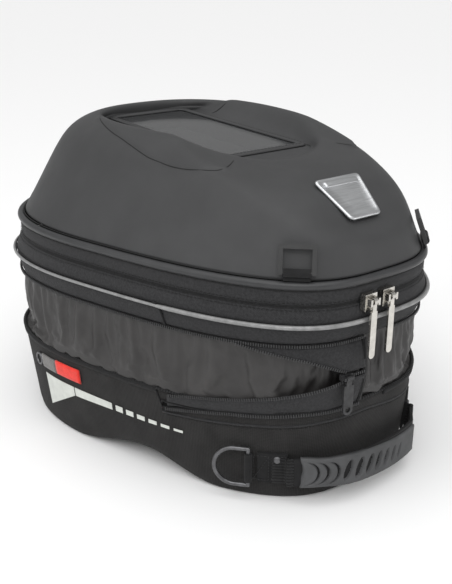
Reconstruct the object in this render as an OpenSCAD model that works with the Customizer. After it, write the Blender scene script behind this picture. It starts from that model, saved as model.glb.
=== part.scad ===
// Expandable motorcycle tank bag: moulded lid with a phone window, zipped main
// compartment, expansion gusset, moulded base with a quick-lock socket for a tank ring.
// Millimetres, +Z up, the rider's end and its handle towards -Y.

/* [Plan outline] */
// Half length of the bag at the lid rim
rim_len = 174; // [160:1:190]
// Half width of the bag at the lid rim, halfway along
rim_wid = 131.3; // [120:0.1:145]
// Squareness of the rider's end of the outline
front_square = 3.3; // [2.6:0.1:4]
// Squareness of the far end of the outline
rear_square = 2.3; // [2:0.1:3]
// How much wider the far end is than the rider's end
taper = 0.355; // [0.2:0.005:0.4]
// Shift of the outline along Y that centres the whole bag, handle included
seat_y = 2.6; // [0:0.05:15]

/* [Levels] */
// Height of the top of the moulded base
base_top = 75; // [60:1:90]
// Height of the lower edge of the fabric band
band_low = 127; // [115:1:135]
// Height of the reflective piping
reflector_z = 142; // [136:1:146]
// Height of the main zip
zip_z = 155; // [152:1:158]
// Height of the lower edge of the lid piping
rim_z = 166.5; // [164:0.5:170]
// Height of the moulded lid above its rim
lid_rise = 82; // [70:1:90]

/* [Shell] */
// Wall thickness of the moulded lid and base
shell_wall = 3; // [2:0.5:4]
// Height of the saddle arches in the lower edge of the base
arch_rise = 15; // [0:1:20]
// Height of the flat middle of the underside above the ground
floor_rise = 22; // [20:1:26]
// Half length of the phone window
window_len = 80; // [70:1:85]
// Half width of the phone window
window_wid = 35; // [32:1:38]

/* [Lock] */
// Radius of the socket that takes the tank ring
ring_r = 43; // [40:0.5:46]
// Depth of the socket
ring_depth = 9; // [7:0.5:10]
// Width of the bolt that slides out to lock the ring
bolt_w = 14; // [10:1:18]

/* [Hidden] */

$fn = 48;
RING_N = 64;                    // points round a full outline
GAP = 0.3;                      // clearance between neighbouring fabric edges
HINGE_FROM = 48;                // the zip stops and the fabric hinge starts here, right side
HINGE_TO = 180 - HINGE_FROM;
EXP_END = 261.5;                // where the expansion zip starts, near the middle of the front
LEFT_LOOP = 232;                // outline angle of the left strap loop
LEFT_BAR = 223.5;               // outline angle of the bar of the left D-ring
window_y = 36;                  // middle of the phone window along Y
window_z = 235;                 // height of the window frame's underside there
window_tilt = 1.9;              // the window falls towards the rider

// ---- outline functions: th is the angle round the plan, 270 is the rider's end ----
function mirrored(th) = 180 - th;
function plan(a, b, th, nf = front_square, nr = rear_square, t = taper) =
    let (n = sin(th) < 0 ? nf : nr)
    let (r = pow(pow(abs(cos(th)), n) + pow(abs(sin(th)), n), -1 / n))
    [b * r * cos(th) * (1 + t * r * sin(th)), a * r * sin(th)];
function wall_len(z) = rim_len + lookup(z, [[0, -12], [base_top, -5.2], [band_low, -3.7],
    [reflector_z, 1.7], [zip_z, -1], [rim_z, 0]]);
function wall_wid(z) = rim_wid + lookup(z, [[0, -0.8], [base_top, 6.1], [band_low, 3.3],
    [reflector_z, 5.6], [zip_z, 0.1], [rim_z, 0]]);
function unit(v) = v / norm(v);
function normal_at(a, b, th) =
    let (d = plan(a, b, th + 0.5) - plan(a, b, th - 0.5))
    unit([d.y, -d.x]);
function wall_normal(th, z) = normal_at(wall_len(z), wall_wid(z), th);
function wall_pt(th, z, out = 0) =
    let (p = plan(wall_len(z), wall_wid(z), th) + wall_normal(th, z) * out)
    [p.x, p.y, z];
function heading(v) = atan2(v.y, v.x);

// ---- the domed lid: u runs from 0 at the rim to 1 at the crown ----
function lean(u, slope, top, power) = 1 - slope * u - (1 - slope - top) * pow(u, power);
// the rider's end is cut back to a flatter facet between two creases
function facet_share(th, u) =
    let (q = (th - 270) / lookup(u, [[0.3, 30], [0.53, 40], [0.77, 59], [1, 78]]))
    max(0, 1 - q * q);
function facet_depth(u) = lookup(u, [[0.34, 0], [0.44, 9], [0.5, 12.5], [0.6, 16], [0.8, 20],
    [1, 15]]);
function facet_fall(u) = lookup(u, [[0.4, 10], [0.8, 25], [0.93, 50], [1, 90]]);
function lid_pt(th, u, inset = 0) =
    let (s = sin(th) < 0 ? lean(u, 0.13, 0.46, 6.5) : lean(u, 0.08, 0.72, 10))
    let (a = rim_len * s - inset)
    let (b = rim_wid * lean(u, 0.37, 0.52, 9) - inset)
    let (p = plan(a, b, th, front_square - 0.5 * u, rear_square, taper - 0.055 * u))
    let (d = facet_depth(u) * facet_share(th, u))
    [p.x, p.y + d * cos(facet_fall(u)), rim_z + lid_rise * u - inset * u - d * sin(facet_fall(u))];
function lid_normal(th, u) =
    let (d = lid_pt(th + 0.5, u) - lid_pt(th - 0.5, u))
    unit([d.y, -d.x]);
function lid_slope(th, u) =
    let (d = lid_pt(th, u - 0.06) - lid_pt(th, u + 0.06))
    atan2(d.x * lid_normal(th, u).x + d.y * lid_normal(th, u).y, -d.z);

// ---- skins: closed grids of points, wrapped both ways, and open strips with caps ----
function wrap_faces(rows, cols) = [for (k = [0:rows - 1], i = [0:cols - 1])
    let (a = k * cols + i)
    let (b = ((k + 1) % rows) * cols + i)
    let (c = ((k + 1) % rows) * cols + (i + 1) % cols)
    let (d = k * cols + (i + 1) % cols)
    each [[a, b, c], [a, c, d]]];
function strip_faces(rows, cols) = [for (k = [0:rows - 2], i = [0:cols - 1])
    let (a = k * cols + i)
    let (b = (k + 1) * cols + i)
    let (c = (k + 1) * cols + (i + 1) % cols)
    let (d = k * cols + (i + 1) % cols)
    each [[a, b, c], [a, c, d]]];
function flat(rows) = [for (r = rows) each r];

module skin(rows) {
    polyhedron(points = flat(rows), faces = wrap_faces(len(rows), len(rows[0])), convexity = 8);
}

module strip(rows) {
    n = len(rows[0]);
    last = (len(rows) - 1) * n;
    caps = [[for (i = [0:n - 1]) i], [for (i = [n - 1:-1:0]) last + i]];
    polyhedron(points = flat(rows), faces = concat(strip_faces(len(rows), n), caps), convexity = 8);
}

// full outline angles, and the angles along a stretch of it
function round_angles(n = RING_N) = [for (i = [0:n - 1]) 360 * i / n];
function stretch(from, to, step = 5) =
    let (n = ceil((to - from) / step))
    [for (i = [0:n]) from + (to - from) * i / n];

// one cross-section of a band on the wall: inner face at out_in, outer face at out_out
function band_section(th, z_low, z_high, out_in, out_out) = [
    wall_pt(th, z_low, out_in), wall_pt(th, z_high, out_in),
    wall_pt(th, z_high, out_out), wall_pt(th, z_low, out_out)];

module wall_strip(from, to, z_low, z_high, out_in, out_out, step = 5)
    strip([for (th = stretch(from, to, step)) band_section(th, z_low, z_high, out_in, out_out)]);

module bead(z, out, radius, sides = 8) {
    rows = [for (th = round_angles()) [for (k = [0:sides - 1])
        let (q = 360 * k / sides)
        let (p = wall_pt(th, z, out - radius * cos(q)))
        [p.x, p.y, z + radius * sin(q)]]];
    skin(rows);
}

// seats everything on the common centre, and puts a piece on the wall or on the lid:
// its +X then points outwards and its +Z up
module seat() translate([0, seat_y, 0]) children();
module on_wall(th, z, out = 0)
    translate(wall_pt(th, z, out)) rotate([0, 0, heading(wall_normal(th, z))]) children();
module on_lid(th, u, out = 0)
    translate(lid_pt(th, u) + out * [lid_normal(th, u).x, lid_normal(th, u).y, 0])
        rotate([0, 0, heading(lid_normal(th, u))]) rotate([0, -lid_slope(th, u), 0]) children();
module in_window() translate([0, window_y, window_z]) rotate([window_tilt, 0, 0]) children();

module rounded_plate(x, y, r) {
    square([2 * x, 2 * (y - r)], center = true);
    square([2 * (x - r), 2 * y], center = true);
    for (sx = [-1, 1], sy = [-1, 1])
        translate([sx * (x - r), sy * (y - r)]) circle(r);
}

// ================= lid =================
lid_u = [0.085, 0.2, 0.35, 0.5, 0.64, 0.76, 0.86, 0.93, 0.975, 1];
hole_len = window_len + 4;
hole_wid = window_wid + 2;
shelf = 6;                      // flat shelf round the window hole, under the frame
function window_pt(th, x, y, z) =
    let (n = 30)
    let (r = pow(pow(abs(cos(th)), n) + pow(abs(sin(th)), n), -1 / n))
    let (v = y * r * sin(th))
    [x * r * cos(th), window_y + v, window_z + z + v * sin(window_tilt)];
function between(p, q, w) = p * (1 - w) + q * w;
function lid_ring(u, inset) = [for (th = round_angles()) lid_pt(th, u, inset)];
function shelf_ring(grow, z) = [for (th = round_angles())
    window_pt(th, hole_wid + grow, hole_len + grow, z)];
function crown_ring(w, inset, z) = [for (th = round_angles())
    between(lid_pt(th, 1, inset), window_pt(th, hole_wid + shelf, hole_len + shelf, z), w)];

module lid_shell() {
    outer = concat([for (u = lid_u) lid_ring(u, 0)], [for (w = [0.3, 0.7]) crown_ring(w, 0, 0)],
        [shelf_ring(shelf, -0.3), shelf_ring(0, -0.3)]);
    // inside, a flat ceiling runs from the window hole to the top of the dome's wall
    inner = concat([shelf_ring(0, -shell_wall)],
        [for (k = [len(lid_u) - 4:-1:0]) lid_ring(lid_u[k], shell_wall)]);
    color("#4a4b4c") seat() skin(concat(outer, inner));
}

module lid_piping() {
    color("#3c3d3f") seat() bead(rim_z + 3.1, -0.6, 3.1);
}

module lid_band() {
    low = zip_z + 1.2;
    high = rim_z - 0.3;
    rows = [for (s = [[low, 0], [high, 0], [high, -2], [low, -2]])
        [for (th = round_angles()) wall_pt(th, s[0], s[1])]];
    color("#353536") seat() skin(rows);
}

module main_zip_upper() {
    color("#222223") seat() wall_strip(HINGE_TO + 1, 360 + HINGE_FROM - 1, zip_z + 0.1, zip_z + 1.1,
        -3, 0.6);
}

module window_frame() {
    color("#404142") seat() in_window() difference() {
        linear_extrude(1.6) rounded_plate(window_wid + 6, window_len + 8, 8);
        translate([0, 0, -1]) linear_extrude(4) rounded_plate(window_wid, window_len, 4);
    }
}

module window_film() {
    color("#c8ccd0") seat() in_window() translate([0, 0, -1.2])
        linear_extrude(1) rounded_plate(window_wid + 1.4, window_len + 3.4, 4);
}

pocket_depth = 16;
pocket_x = window_wid + 1.4;
pocket_y = window_len + 3.4;
module phone_pocket() {
    color("#2a2a2b") seat() in_window() translate([0, 0, -pocket_depth]) difference() {
        linear_extrude(pocket_depth - 1.5) rounded_plate(pocket_x, pocket_y, 4);
        translate([0, 0, -1]) linear_extrude(pocket_depth + 2)
            rounded_plate(pocket_x - 1.6, pocket_y - 1.6, 3);
    }
}

module pocket_flap() {
    color("#2f2f30") seat() in_window() translate([0, 0, -pocket_depth - 2])
        linear_extrude(1.6) rounded_plate(pocket_x + 2, pocket_y + 2, 5);
}

// the badge lies on the facet between two of its levels
badge_low = lid_pt(270, 0.48);
badge_high = lid_pt(270, 0.79);
badge_lift = 2.7;
module badge_plate() {
    wide = 21.5;
    narrow = 14.5;
    tall = 19;
    corner = 3;
    middle = (badge_low + badge_high) / 2;
    tilt = atan2(badge_high.z - badge_low.z, badge_high.y - badge_low.y);
    color("#c4c6c8") seat() translate(middle) rotate([tilt, 0, 0]) translate([0, 0, badge_lift])
        hull() for (s = [-1, 1]) {
            translate([s * (wide - corner), tall - corner, 0]) cylinder(h = 2, r = corner, $fn = 32);
            translate([s * (narrow - corner), corner - tall, 0]) cylinder(h = 2, r = corner, $fn = 32);
        }
}

// strap loops: a moulded rectangular loop held on a webbing tab that is sewn in above the piping
loop_u = 0.15;
loop_out = 4.2;
loop_bar = 1.5;
loop_half = 12.5;
loop_tall = 18.5;
module loop_tab(th) {
    color("#1f1f20") seat() on_lid(th, loop_u, loop_out) difference() {
        union() {
            rotate([90, 0, 0]) cylinder(h = 18, r = loop_bar + 1.4, center = true);
            translate([-2.7, -9, -5.5]) cube([1.6, 18, 5.5]);
        }
        rotate([90, 0, 0]) cylinder(h = 20, r = loop_bar + 0.08, center = true);
    }
}
module strap_loop(th) {
    color("#2b2c2d") seat() on_lid(th, loop_u, loop_out) {
        rotate([90, 0, 0]) cylinder(h = 2 * loop_half, r = loop_bar, center = true);
        for (s = [-1, 1]) translate([-loop_bar, s * (loop_half - 1.5) - 1.5, -loop_bar])
            cube([2 * loop_bar, 3, loop_tall + loop_bar]);
        translate([-loop_bar, -loop_half, loop_tall - 3]) cube([2 * loop_bar, 2 * loop_half, 3]);
    }
}
module loop_tab_left() loop_tab(LEFT_LOOP);
module loop_tab_right() loop_tab(mirrored(LEFT_LOOP));
module strap_loop_left() strap_loop(LEFT_LOOP);
module strap_loop_right() strap_loop(mirrored(LEFT_LOOP));

// ================= zipped band under the lid =================
module upper_band() {
    levels = [band_low + GAP, 134, reflector_z, 148, zip_z - 1.2];
    outer = [for (z = levels) [for (th = round_angles()) wall_pt(th, z, 0)]];
    inner = [for (k = [len(levels) - 1:-1:0]) [for (th = round_angles()) wall_pt(th, levels[k], -2)]];
    color("#343435") seat() skin(concat(outer, inner));
}

module reflective_piping() {
    color("#8f9090") seat() bead(reflector_z, 1.75, 1.7, 6);
}

module main_zip_lower() {
    color("#222223") seat() wall_strip(HINGE_TO + 1, 360 + HINGE_FROM - 1, zip_z - 1.1, zip_z - 0.1,
        -3, 0.6);
}

module hinge_panel() {
    color("#303031") seat() wall_strip(HINGE_FROM, HINGE_TO, zip_z - 0.9, zip_z + 0.9, -3, -0.6);
}

// main zip sliders: body, bridge pin and a hanging pull
slider_w = 11;
slider_h = 12;
slider_back = 1.6;              // gap behind the slider's inner face
bridge_out = 9;
pull_drop = 42;
module zip_slider(x) {
    translate([x, -wall_len(zip_z), zip_z]) {
        translate([-slider_w / 2, -slider_back - 4.5, -slider_h / 2]) cube([slider_w, 4.5, slider_h]);
        for (s = [-1, 1]) translate([s * 3.6 - 0.9, -bridge_out - 1.5, -1.5]) cube([1.8, 6, 5]);
        translate([0, -bridge_out, 1.5]) rotate([0, 90, 0]) cylinder(h = 8, r = 0.9, center = true);
    }
}
module zip_pull(x) {
    translate([x, -wall_len(zip_z) - bridge_out, zip_z + 1.5]) difference() {
        union() {
            rotate([0, 90, 0]) cylinder(h = 3.6, r = 2.4, center = true);
            translate([-1.8, -0.9, -8]) cube([3.6, 1.8, 8]);
            translate([-2.75, -0.9, -pull_drop + 2.75]) cube([5.5, 1.8, pull_drop - 10]);
            translate([0, 0.9, -pull_drop + 2.75]) rotate([90, 0, 0]) cylinder(h = 1.8, r = 2.75);
        }
        rotate([0, 90, 0]) cylinder(h = 6, r = 0.97, center = true);
    }
}
module main_slider_left() color("#c9c6bd") seat() zip_slider(-17);
module main_slider_right() color("#c9c6bd") seat() zip_slider(0);
module main_pull_left() color("#d8d6cf") seat() zip_pull(-17);
module main_pull_right() color("#d8d6cf") seat() zip_pull(0);

// ================= expansion zone =================
function edge_b(th) = lookup(th, [[219, 124.5], [237, 115], [251, 104], [EXP_END, 104]]);
function edge_c(th) = lookup(th, [[210, 77], [225, 86], [237, 92], [251, 99], [EXP_END, 99]]);
function edge_e(th) = lookup(th, [[203, 60], [212, 66], [219, 70], [237, 74], [EXP_END, 74]]);

module expansion_zip_upper() {
    color("#262627") seat() wall_strip(EXP_END - 343, EXP_END, band_low - 2, band_low, -1.8, 0.8);
}

module expansion_flap_upper() {
    rows = [for (th = stretch(221, EXP_END, 4))
        let (low = edge_b(th))
        let (high = band_low - 2.3)
        let (out = 1.2 + 4 * (high - low) / 20)
        [wall_pt(th, low, out), wall_pt(th, high, 0.2), wall_pt(th, high, 1.8), wall_pt(th, low, out + 1.8)]];
    color("#2e2e2f") seat() strip(rows);
}

module expansion_flap_lower() {
    rows = [for (th = stretch(207, EXP_END, 4))
        let (high = th < 210 ? base_top + 1 : edge_c(th))
        let (low = edge_e(th) + 1.2)
        let (out = 1.4 + 4 * max(0, high - base_top) / 25)
        [wall_pt(th, low, 1), wall_pt(th, high, out), wall_pt(th, high, out + 1.8), wall_pt(th, low, 2.6)]];
    color("#2e2e2f") seat() strip(rows);
}

module expansion_gusset() {
    levels = [base_top + GAP, 84, 96, 110, band_low - 2.3];
    bulge = [-2, 0.4, 0.6, -1.6, -2.4];
    outer = [for (k = [0:4]) [for (th = round_angles()) wall_pt(th, levels[k], bulge[k])]];
    inner = [for (k = [4:-1:0]) [for (th = round_angles()) wall_pt(th, levels[k], bulge[k] - 1)]];
    color("#3a3838") seat() skin(concat(outer, inner));
}

module expansion_zip_lower() {
    rows = [for (th = stretch(EXP_END - 343, EXP_END, 5))
        let (z = th < 203 ? base_top - 1.6 : edge_e(th) - 0.6)
        [wall_pt(th, z, 0.35), wall_pt(th, z + 1.6, 0.35), wall_pt(th, z + 1.6, 1.9), wall_pt(th, z, 1.9)]];
    color("#262627") seat() strip(rows);
}

exp_slider_th = 251;
exp_slider_z = 101.5;
exp_out = 5.2;
module expansion_slider() {
    color("#3a3a3b") seat() on_wall(exp_slider_th, exp_slider_z, exp_out) {
        translate([-1.2, -4.5, -2.2]) cube([3, 9, 4.4]);
        for (s = [-1, 1]) translate([1.8, s * 3.2 - 0.8, -1.2]) cube([3, 1.6, 2.4]);
        translate([3.8, 0, 0]) rotate([90, 0, 0]) cylinder(h = 7, r = 0.8, center = true);
    }
}
module expansion_pull() {
    color("#2a2a2b") seat() on_wall(exp_slider_th, exp_slider_z, exp_out) translate([3.8, 0, 0])
        difference() {
            union() {
                rotate([90, 0, 0]) cylinder(h = 4.4, r = 1.6, center = true);
                translate([-0.9, -2.2, -6]) cube([1.8, 4.4, 6]);
                translate([-0.9, -4, -24]) cube([1.8, 8, 19]);
                translate([-0.9, 0, -24]) rotate([0, 90, 0]) cylinder(h = 1.8, r = 4);
            }
            rotate([90, 0, 0]) cylinder(h = 8, r = 0.87, center = true);
            translate([-2, 0, -24]) rotate([0, 90, 0]) cylinder(h = 4, r = 2.1);
        }
}

// ================= moulded base =================
arch_y = -46;                   // where the saddle arch is highest
arch_front = 64;                // its reach towards the rider
arch_rear = 78;                 // its reach away from the rider
function arch_phase(y) = y < arch_y ? (y - arch_y) / arch_front : (y - arch_y) / arch_rear;
function foot_z(y) =
    let (q = arch_phase(y))
    abs(q) > 1 ? 0 : arch_rise * (1 + cos(180 * q)) / 2;
floor_hole = ring_r + 7;        // opening in the floor for the lock housing
board_z = floor_rise + shell_wall;
board_thick = 3;
function foot_pt(th, inset, lift) =
    let (p = plan(rim_len - 12 - inset, rim_wid - 0.8 - inset, th))
    [p.x, p.y, foot_z(p.y) + lift];
function foot_ring(inset, lift, share = 1) = [for (th = round_angles())
    let (p = foot_pt(th, inset, 0))
    [p.x, p.y, p.z * share + lift]];
function hole_ring(z) = [for (th = round_angles()) [floor_hole * cos(th), floor_hole * sin(th), z]];
function base_ring(z, inset) = [for (th = round_angles()) wall_pt(th, z, -inset)];

module base_shell() {
    outer = [
        hole_ring(floor_rise),
        foot_ring(28, floor_rise, 0),
        foot_ring(17, 9, (floor_rise - 9) / arch_rise),
        foot_ring(11, 0),
        foot_ring(3, 0),
        foot_ring(-0.3, 3.4),
        base_ring(40, 0),
        base_ring(base_top, 0)];
    inner = [
        base_ring(base_top, shell_wall),
        base_ring(40, shell_wall),
        foot_ring(3.4, 6, (board_z - 6) / arch_rise),
        foot_ring(16, 12, (board_z - 12) / arch_rise),
        foot_ring(27, board_z, 0),
        hole_ring(board_z)];
    color("#2c2b2a") seat() skin(concat(outer, inner));
}

module base_binding() {
    color("#2a2a2a") seat() wall_strip(218, 322, 61, 63, 0.35, 1.3);
}

screw_ring = 36;
module screw_places() for (q = [45:90:315]) rotate([0, 0, q]) translate([screw_ring, 0, 0]) children();

module base_board() {
    outline = [for (th = round_angles()) plan(rim_len - 42, rim_wid - 29, th)];
    color("#161616") seat() difference() {
        translate([0, 0, board_z]) linear_extrude(board_thick) polygon(outline);
        screw_places() cylinder(h = 60, r = 2.6);
    }
}

// ================= trim on the base =================
trim_z = 43.5;
function trim_strip(from, to, low0, high0, low1, high1) = [for (k = [0:6])
    let (w = k / 6)
    let (th = from + (to - from) * w)
    band_section(th, low0 + (low1 - low0) * w, high0 + (high1 - high0) * w, 0.35, 0.75)];
function reversed(v) = [for (k = [len(v) - 1:-1:0]) v[k]];
function flipped(rows) = [for (r = reversed(rows)) [for (p = r) [-p.x, p.y, p.z]]];
wedge = trim_strip(160, 173, 17, 47, 39, 47);
bar = trim_strip(173.4, 187, 39.4, 47, 40.6, 46.4);
dashes = [for (k = [0:5]) trim_strip(188.3 + 3.45 * k, 190.6 + 3.45 * k, 41 + 0.2 * k, 46 - 0.4 * k,
    41 + 0.2 * k, 46 - 0.4 * k)];
module reflective_trim_left() {
    color("#d4d6d0") seat() for (piece = concat([wedge, bar], dashes)) strip(piece);
}
module reflective_trim_right() {
    color("#d4d6d0") seat() for (piece = concat([wedge, bar], dashes)) strip(flipped(piece));
}

module side_tab() {
    color("#c8342c") seat() strip([for (th = stretch(161.5, 176.5, 3)) band_section(th, 53.5, 66, 0.8, 2.2)]);
}
module side_tab_ring() {
    color("#8a8b8c") seat() on_wall(158.6, 59, 1.9) rotate([0, 90, 0])
        rotate_extrude() translate([4.6, 0]) circle(r = 1, $fn = 16);
}

// ================= handle anchors and D-rings =================
anchor_z = 28;
patch_half = 12.5;
bar_out = 4.4;
d_wire = 1.6;
module anchor_patch(th, side) {
    rows = [for (k = [0:3])
        let (a = LEFT_BAR + 2 + k * 2.6)
        band_section(a, anchor_z - patch_half, anchor_z + patch_half, 0.35, 2.6)];
    color("#1e1e1f") seat() {
        strip(side < 0 ? rows : flipped(rows));
        on_wall(th, anchor_z, bar_out) difference() {
            cylinder(h = 2 * patch_half - 2, r = 3, center = true);
            cylinder(h = 2 * patch_half, r = d_wire + 0.08, center = true);
        }
    }
}
module anchor_patch_left() anchor_patch(LEFT_BAR, -1);
module anchor_patch_right() anchor_patch(mirrored(LEFT_BAR), 1);

module anchor_rivets() {
    color("#b9bab8") seat() for (th = [230.5, mirrored(230.5)])
        on_wall(th, anchor_z + 8, 3) rotate([0, 90, 0]) cylinder(h = 1.4, r1 = 3, r2 = 2);
}

d_half = 15;
d_reach = 25;
module d_ring(th, side) {
    leg = d_reach - d_half;
    turn = side > 0 ? 180 : 0;
    color("#6e7072") seat() on_wall(th, anchor_z, bar_out) rotate([0, 0, side * 4]) {
        cylinder(h = 2 * d_half, r = d_wire, center = true);
        for (s = [-1, 1]) {
            translate([0, 0, s * d_half]) sphere(d_wire);
            translate([0, -side * leg / 2, s * d_half]) rotate([90, 0, 0])
                cylinder(h = leg, r = d_wire, center = true);
        }
        translate([0, -side * leg, 0]) rotate([0, 90, 0]) rotate([0, 0, turn])
            rotate_extrude(angle = 180) translate([d_half, 0]) circle(r = d_wire, $fn = 24);
    }
}
module d_ring_left() d_ring(LEFT_BAR, 1);
module d_ring_right() d_ring(mirrored(LEFT_BAR), -1);

// ================= handle =================
strap_t = 2;
handle_root = [62, -157];
grip_mid = [-5.5, -178.5];        // the slack handle hangs a little to the left
grip_half = 52.5;
function grip_y(q) = grip_mid.y + (q < 0 ? 18.5 : 7.5) * pow(abs(q), 2.4);
function grip_line(n = 16) = [for (k = [-n:n]) [grip_mid.x + grip_half * k / n, grip_y(k / n)]];
function strap_line() = concat([[-handle_root.x, handle_root.y]], grip_line(), [handle_root]);
function side_of(line, k) =
    let (p = line[max(0, k - 1)])
    let (q = line[min(len(line) - 1, k + 1)])
    let (d = unit(q - p))
    [-d.y, d.x];
function ribbon(line, t) = concat(
    [for (k = [0:len(line) - 1]) line[k] + side_of(line, k) * t / 2],
    [for (k = [len(line) - 1:-1:0]) line[k] - side_of(line, k) * t / 2]);
module handle_strap() {
    color("#1e1e1f") seat() translate([0, 0, anchor_z - 11]) linear_extrude(22)
        polygon(ribbon(strap_line(), strap_t));
}
module handle_grip() {
    color("#555657") seat() difference() {
        translate([0, 0, anchor_z - 12.5]) linear_extrude(25) polygon(ribbon(grip_line(), 8));
        translate([0, 0, anchor_z - 11.1]) linear_extrude(22.2)
            polygon(ribbon(strap_line(), strap_t + 0.2));
    }
}

// ================= quick-lock socket =================
bolt_h = 5;
bolt_z = 6.5;
bolt_mid = bolt_z + bolt_h / 2;
tail_r = 1.6;
housing_low = 3;
channel_from = -78;
module lock_housing() {
    color("#1c1d1e") seat() difference() {
        union() {
            translate([0, 0, housing_low]) cylinder(h = 14, r = ring_r + 9);
            translate([0, 0, 17]) cylinder(h = floor_rise - 17 - 0.1, r = ring_r + 15);
            translate([0, 0, 21]) cylinder(h = board_z - 21, r = ring_r + 4);
            translate([-bolt_w, channel_from, housing_low]) cube([2 * bolt_w, 40, 11]);
        }
        translate([0, 0, housing_low - 1]) cylinder(h = ring_depth + 1, r = ring_r);
        translate([-bolt_w / 2 - 0.3, channel_from + 4, bolt_z - 0.3]) cube([bolt_w + 0.6, 50, bolt_h + 0.6]);
        translate([0, channel_from - 1, bolt_mid]) rotate([-90, 0, 0]) cylinder(h = 8, r = tail_r + 0.08);
        screw_places() cylinder(h = 60, r = 2.2);
        screw_places() translate([0, 0, 5]) cylinder(h = 11, r = 5);
    }
}
module lock_bolt() {
    color("#8f9193") seat() {
        translate([-bolt_w / 2, -66, bolt_z]) cube([bolt_w, 66 - ring_r - 0.4, bolt_h]);
        translate([0, -87, bolt_mid]) rotate([-90, 0, 0]) cylinder(h = 22, r = tail_r);
    }
}
module release_pull() {
    color("#1e1e1f") seat() difference() {
        translate([-9, -116, bolt_mid - 2.6]) cube([18, 32, 5.2]);
        translate([0, -87.1, bolt_mid]) rotate([-90, 0, 0]) cylinder(h = 10, r = tail_r + 0.05);
    }
}
module backing_ring() {
    color("#b4b6b8") seat() difference() {
        translate([0, 0, board_z + board_thick]) cylinder(h = 2, r = ring_r + 3);
        translate([0, 0, board_z]) cylinder(h = 20, r = ring_r - 15);
        screw_places() cylinder(h = 60, r = 2.1);
    }
}
module housing_screws() {
    color("#9a9c9e") seat() screw_places() {
        translate([0, 0, 12.5]) cylinder(h = 3.5, r = 4.5);
        translate([0, 0, 16]) cylinder(h = board_z + board_thick + 2.4 - 16, r = 2);
    }
}

lid_shell();
lid_piping();
lid_band();
main_zip_upper();
window_frame();
window_film();
phone_pocket();
pocket_flap();
badge_plate();
loop_tab_left();
loop_tab_right();
strap_loop_left();
strap_loop_right();
upper_band();
reflective_piping();
main_zip_lower();
hinge_panel();
main_slider_left();
main_slider_right();
main_pull_left();
main_pull_right();
expansion_zip_upper();
expansion_flap_upper();
expansion_gusset();
expansion_flap_lower();
expansion_zip_lower();
expansion_slider();
expansion_pull();
base_shell();
base_board();
base_binding();
reflective_trim_left();
reflective_trim_right();
side_tab();
side_tab_ring();
anchor_patch_left();
anchor_patch_right();
anchor_rivets();
d_ring_left();
d_ring_right();
handle_strap();
handle_grip();
lock_housing();
backing_ring();
housing_screws();
lock_bolt();
release_pull();
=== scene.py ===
# Looks for the expandable tank bag: woven bands, moulded lid skin, gathered gusset, zips and trim.
import math

import bmesh
import bpy
import numpy as np
from mathutils import Matrix, Vector, noise


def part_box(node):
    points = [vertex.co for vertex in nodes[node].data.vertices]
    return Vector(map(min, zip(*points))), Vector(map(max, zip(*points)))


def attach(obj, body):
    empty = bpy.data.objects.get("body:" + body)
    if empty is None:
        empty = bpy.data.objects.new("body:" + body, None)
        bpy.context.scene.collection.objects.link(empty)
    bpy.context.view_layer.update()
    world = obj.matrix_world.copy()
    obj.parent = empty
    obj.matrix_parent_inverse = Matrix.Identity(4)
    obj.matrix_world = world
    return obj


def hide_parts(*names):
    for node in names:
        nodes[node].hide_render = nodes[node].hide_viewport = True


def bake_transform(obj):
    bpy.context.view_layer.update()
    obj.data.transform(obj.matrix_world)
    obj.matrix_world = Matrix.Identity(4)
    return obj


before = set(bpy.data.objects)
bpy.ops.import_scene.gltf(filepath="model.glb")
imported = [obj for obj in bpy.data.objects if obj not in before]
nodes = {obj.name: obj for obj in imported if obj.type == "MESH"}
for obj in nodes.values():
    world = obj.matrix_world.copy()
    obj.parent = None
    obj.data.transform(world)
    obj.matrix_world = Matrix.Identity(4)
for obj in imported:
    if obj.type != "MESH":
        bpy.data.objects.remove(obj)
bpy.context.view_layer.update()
MM = 0.001


_lo, _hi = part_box("base_shell")
SEAT = (_lo[1] + _hi[1]) / 2 / MM

# ---------------------------------------------------------------- outline
LEN, WID = 174.0, 131.3
RIM_Z, LID_RISE = 166.5, 82
BAND_LOW = 127.0  # lower edge of the cloth above the expansion zip
STRAP_Z = 28  # middle height of the webbing that carries the handle
FRONT, REAR, TAPER = 3.3, 2.3, 0.355
LEVELS = [0, 75, BAND_LOW, 142, 155, RIM_Z]
LEN_AT = [-12, -5.2, -3.7, 1.7, -1, 0]
WID_AT = [-0.8, 6.1, 3.3, 5.6, 0.1, 0]


def plan(a, b, th, nf=FRONT, nr=REAR, t=TAPER):
    c, s = math.cos(math.radians(th)), math.sin(math.radians(th))
    n = nf if s < 0 else nr
    r = (abs(c) ** n + abs(s) ** n) ** (-1 / n)
    return np.array([b * r * c * (1 + t * r * s), a * r * s])


def across(p, q):
    d = q - p
    d = d / np.linalg.norm(d)
    return np.array([d[1], -d[0]])


def wall_len(z):
    return LEN + np.interp(z, LEVELS, LEN_AT)


def wall_wid(z):
    return WID + np.interp(z, LEVELS, WID_AT)


def wall_normal(th, z):
    a, b = wall_len(z), wall_wid(z)
    return across(plan(a, b, th - 0.5), plan(a, b, th + 0.5))


def wall(th, z, out=0.0):
    p = plan(wall_len(z), wall_wid(z), th) + wall_normal(th, z) * out
    return np.array([p[0], p[1], z])


def lean(u, slope, top, power):
    return 1 - slope * u - (1 - slope - top) * u**power


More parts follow.
